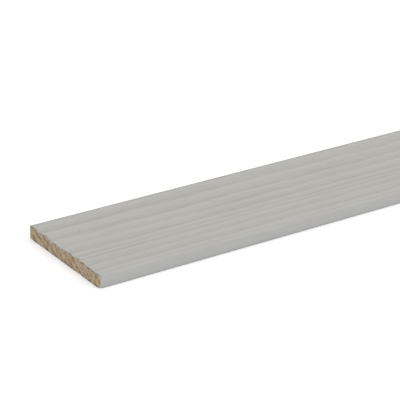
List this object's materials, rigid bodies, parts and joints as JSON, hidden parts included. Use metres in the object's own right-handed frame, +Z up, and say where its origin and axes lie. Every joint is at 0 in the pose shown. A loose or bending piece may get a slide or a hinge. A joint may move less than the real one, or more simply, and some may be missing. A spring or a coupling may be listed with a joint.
{
  "type": "floor transition strip",
  "caption": "Flat primed softwood strip with eased long edges and square saw-cut ends, glued down to cover the joint where floors meet in a doorway.",
  "frame": {"origin": "middle of the underside, the face that is glued to the floor", "axes": "+X along the strip, +Y across it, +Z up out of the show face"},
  "size_m": [0.9, 0.045, 0.005],
  "materials": {
    "primed_softwood": "pale grey primer, matt, with the grain showing through; bare softwood end grain on the two saw cuts"
  },
  "bodies": {
    "root": {"transition_strip": "primed_softwood"}
  },
  "joints": []
}
